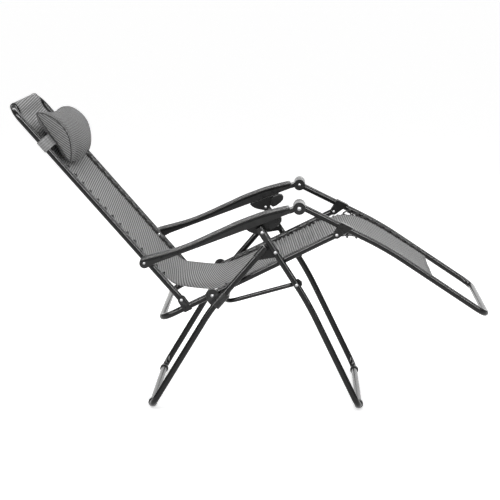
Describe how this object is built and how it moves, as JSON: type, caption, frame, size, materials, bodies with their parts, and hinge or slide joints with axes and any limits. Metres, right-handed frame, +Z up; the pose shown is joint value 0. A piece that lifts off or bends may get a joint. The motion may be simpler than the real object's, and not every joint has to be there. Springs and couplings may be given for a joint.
{
  "type": "zero gravity recliner",
  "caption": "Folding tube-frame lounge chair with a laced mesh sling, sliding head pillow and armrests linked to the back, seat and leg rest.",
  "frame": {"origin": "on the floor, on the centre plane of the chair, below the middle of its length", "axes": "+X towards the feet end, +Y towards the sitter's left, +Z up"},
  "size_m": [1.6358, 0.6548, 1.0534],
  "materials": {
    "arm_front_rivet": "bright zinc-plated domed head",
    "arm_rear_rivet": "bright zinc-plated domed head",
    "armrest_pad": "fine-grained moulded grip",
    "armrest_rail": "charcoal moulded plastic",
    "back_frame_tube": "semi-gloss charcoal powder coat",
    "back_pivot_rivet": "bright zinc-plated domed head",
    "brace_bracket": "charcoal powder coat on pressed steel",
    "brace_rivet": "bright zinc-plated domed head",
    "brace_tube": "semi-gloss charcoal powder coat",
    "clamp_bracket": "charcoal powder coat on pressed steel",
    "clamp_rivet": "bright zinc-plated domed head",
    "cord_back": "black braided elastic cord",
    "cord_leg": "black braided elastic cord",
    "cord_seat": "black braided elastic cord",
    "front_foot_pad": "charcoal moulded plastic",
    "front_leg_cap": "charcoal moulded plastic",
    "front_leg_tube": "semi-gloss charcoal powder coat",
    "headrest_pillow": "grey two-tone woven mesh",
    "headrest_strap": "grey elastic webbing",
    "knee_bracket": "charcoal powder coat on pressed steel",
    "knee_rivet": "bright zinc-plated domed head",
    "leg_pivot_plate": "charcoal powder coat on pressed steel",
    "leg_pivot_rivet": "bright zinc-plated domed head",
    "leg_rest_tube": "semi-gloss charcoal powder coat",
    "legrest_knuckle": "charcoal moulded plastic",
    "lock_lever": "charcoal moulded plastic",
    "rear_foot_pad": "charcoal moulded plastic",
    "rear_leg_tube": "semi-gloss charcoal powder coat",
    "seat_back_bracket": "charcoal powder coat on pressed steel",
    "seat_frame_tube": "semi-gloss charcoal powder coat",
    "seat_hub_bracket": "charcoal moulded plastic",
    "seat_hub_rivet": "bright zinc-plated domed head",
    "sling_back": "grey two-tone woven mesh",
    "sling_leg": "grey two-tone woven mesh",
    "sling_seat": "grey two-tone woven mesh"
  },
  "bodies": {
    "base": {"rear_leg_tube": "rear_leg_tube", "rear_foot_pad_r": "rear_foot_pad", "rear_foot_pad_l": "rear_foot_pad", "seat_hub_bracket_r": "seat_hub_bracket", "seat_hub_bracket_l": "seat_hub_bracket", "seat_hub_rivet_r": "seat_hub_rivet", "seat_hub_rivet_l": "seat_hub_rivet", "leg_pivot_plate_r": "leg_pivot_plate", "leg_pivot_plate_l": "leg_pivot_plate"},
    "front_legs": {"front_leg_tube": "front_leg_tube", "front_foot_pad_r": "front_foot_pad", "front_foot_pad_l": "front_foot_pad", "front_leg_cap_r": "front_leg_cap", "front_leg_cap_l": "front_leg_cap", "leg_pivot_rivet_r": "leg_pivot_rivet", "leg_pivot_rivet_l": "leg_pivot_rivet", "brace_bracket_r": "brace_bracket", "brace_bracket_l": "brace_bracket", "brace_rivet_r": "brace_rivet", "brace_rivet_l": "brace_rivet", "clamp_rivet_r": "clamp_rivet", "clamp_rivet_l": "clamp_rivet"},
    "brace": {"brace_tube": "brace_tube"},
    "seat": {"seat_frame_tube": "seat_frame_tube", "seat_back_bracket_r": "seat_back_bracket", "seat_back_bracket_l": "seat_back_bracket", "back_pivot_rivet_r": "back_pivot_rivet", "back_pivot_rivet_l": "back_pivot_rivet", "sling_seat": "sling_seat", "cord_seat_r": "cord_seat", "cord_seat_l": "cord_seat"},
    "back": {"back_frame_tube": "back_frame_tube", "sling_back": "sling_back", "cord_back_r": "cord_back", "cord_back_l": "cord_back"},
    "leg_rest": {"leg_rest_tube": "leg_rest_tube", "knee_bracket_r": "knee_bracket", "knee_bracket_l": "knee_bracket", "knee_rivet_r": "knee_rivet", "knee_rivet_l": "knee_rivet", "legrest_knuckle_r": "legrest_knuckle", "legrest_knuckle_l": "legrest_knuckle", "arm_front_rivet_r": "arm_front_rivet", "arm_front_rivet_l": "arm_front_rivet", "sling_leg": "sling_leg", "cord_leg_r": "cord_leg", "cord_leg_l": "cord_leg"},
    "headrest": {"headrest_pillow": "headrest_pillow", "headrest_strap": "headrest_strap"},
    "armrest_r": {"armrest_pad_r": "armrest_pad", "armrest_rail_r": "armrest_rail", "arm_rear_rivet_r": "arm_rear_rivet"},
    "clamp_r": {"clamp_bracket_r": "clamp_bracket"},
    "lever_r": {"lock_lever_r": "lock_lever"},
    "armrest_l": {"armrest_pad_l": "armrest_pad", "armrest_rail_l": "armrest_rail", "arm_rear_rivet_l": "arm_rear_rivet"},
    "clamp_l": {"clamp_bracket_l": "clamp_bracket"},
    "lever_l": {"lock_lever_l": "lock_lever"}
  },
  "joints": [
    {"name": "recline", "type": "hinge", "parent": "base", "child": "seat", "pos_m": [-0.12898, 0, 0.4051], "axis": [0, -1, 0], "range_deg": [-4.7, 5.5]},
    {"name": "back_recline", "type": "hinge", "parent": "seat", "child": "back", "pos_m": [-0.23498, 0, 0.3861], "axis": [0, -1, 0], "range_deg": [-11.21, 13.09]},
    {"name": "leg_rest_lift", "type": "hinge", "parent": "seat", "child": "leg_rest", "pos_m": [0.29302, 0, 0.6151], "axis": [0, -1, 0], "range_deg": [-14.41, 16.84]},
    {"name": "armrest_tilt_r", "type": "hinge", "parent": "back", "child": "armrest_r", "pos_m": [-0.35598, 0, 0.5251], "axis": [0, -1, 0], "range_deg": [-14.16, 12.13]},
    {"name": "clamp_slide_r", "type": "slide", "parent": "armrest_r", "child": "clamp_r", "axis": [0.9347, 0, 0.3554], "range_m": [-0.0459, 0.0537]},
    {"name": "lock_lever_r_turn", "type": "hinge", "parent": "clamp_r", "child": "lever_r", "pos_m": [0.089, 0, 0.6645], "axis": [0, 1, 0], "range_deg": [0, 26]},
    {"name": "armrest_tilt_l", "type": "hinge", "parent": "back", "child": "armrest_l", "pos_m": [-0.35598, 0, 0.5251], "axis": [0, -1, 0], "range_deg": [-14.16, 12.13]},
    {"name": "clamp_slide_l", "type": "slide", "parent": "armrest_l", "child": "clamp_l", "axis": [0.9347, 0, 0.3554], "range_m": [-0.0459, 0.0537]},
    {"name": "lock_lever_l_turn", "type": "hinge", "parent": "clamp_l", "child": "lever_l", "pos_m": [0.089, 0, 0.6645], "axis": [0, 1, 0], "range_deg": [0, 26]},
    {"name": "leg_fold", "type": "hinge", "parent": "base", "child": "front_legs", "pos_m": [0.08602, 0, 0.5581], "axis": [0, 1, 0], "range_deg": [0, 56]},
    {"name": "brace_fold", "type": "hinge", "parent": "front_legs", "child": "brace", "pos_m": [0.15802, 0, 0.4461], "axis": [0, -1, 0], "range_deg": [0, 98]},
    {"name": "headrest_slide", "type": "slide", "parent": "back", "child": "headrest", "axis": [-0.6566, 0, 0.7542], "range_m": [-0.25, 0.045]}
  ],
  "couplings": [
    {"joint": "back_recline", "follows": "recline", "ratio": 2.353},
    {"joint": "leg_rest_lift", "follows": "recline", "ratio": 3.035},
    {"joint": "armrest_tilt_r", "follows": "recline", "ratio": -2.548},
    {"joint": "clamp_slide_r", "follows": "recline", "m_per_rad": 0.5528},
    {"joint": "armrest_tilt_l", "follows": "recline", "ratio": -2.548},
    {"joint": "clamp_slide_l", "follows": "recline", "m_per_rad": 0.5528},
    {"joint": "brace_fold", "follows": "leg_fold", "ratio": 1.73}
  ]
}
